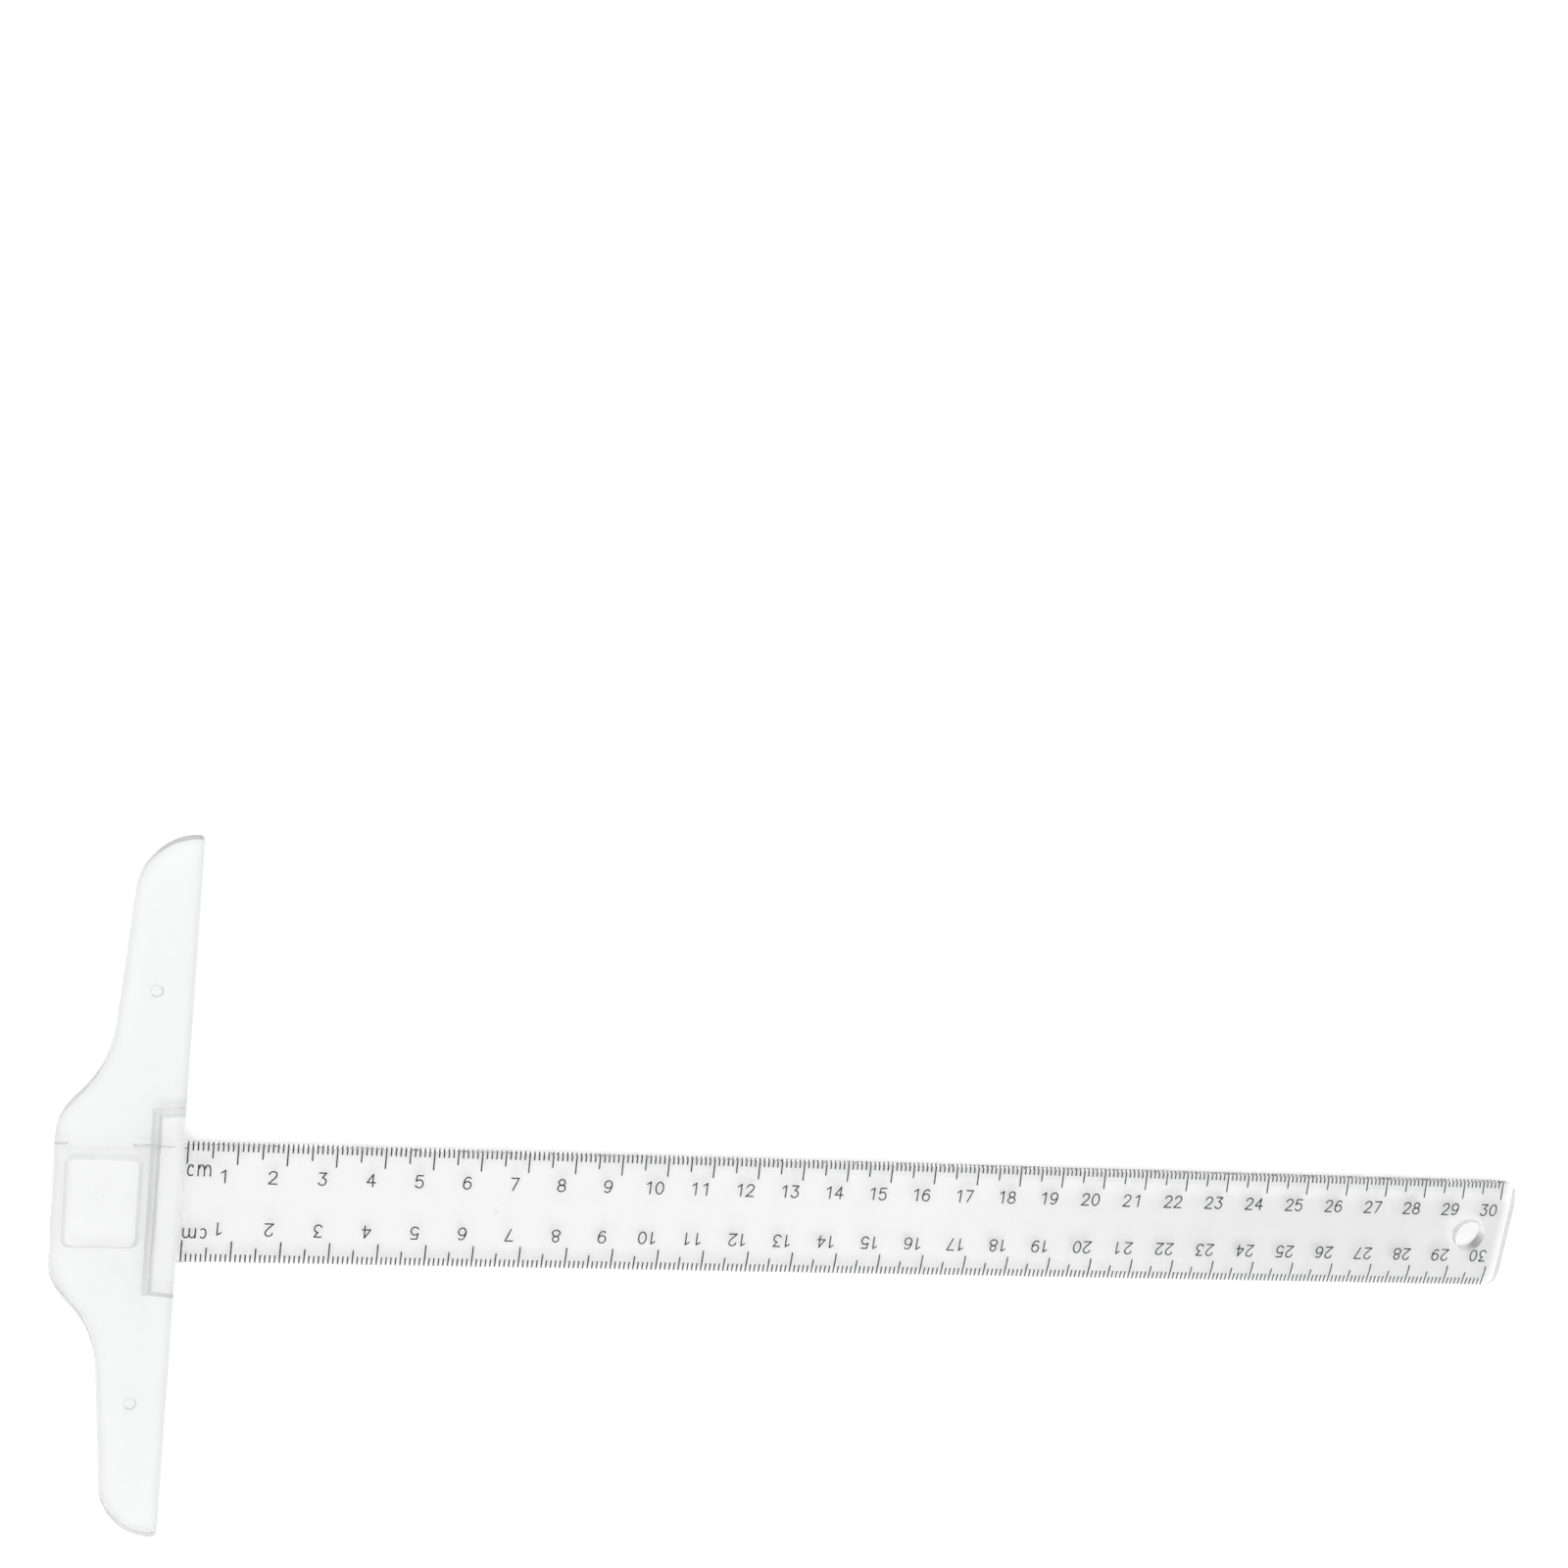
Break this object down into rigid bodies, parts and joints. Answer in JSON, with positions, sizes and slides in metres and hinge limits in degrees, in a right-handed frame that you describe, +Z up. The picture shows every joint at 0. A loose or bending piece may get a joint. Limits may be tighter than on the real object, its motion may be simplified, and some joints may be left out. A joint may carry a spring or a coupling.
{
  "type": "t square",
  "caption": "Clear plastic T square: a flat ruled blade cemented across a swept head with a straight working edge, with a hanging hole at the free end.",
  "frame": {"origin": "under the middle of the whole outline, on the plane that the head's underside lies on", "axes": "+X along the blade from the head to the hanging hole, +Y across the blade toward the upper ruling edge, +Z up, away from the drawing board"},
  "size_m": [0.3288, 0.1568, 0.0045],
  "materials": {
    "head_plastic": "clear, polished",
    "blade_plastic": "clear, polished, with printed scales"
  },
  "bodies": {
    "root": {"head": "head_plastic", "blade": "blade_plastic"}
  },
  "joints": []
}
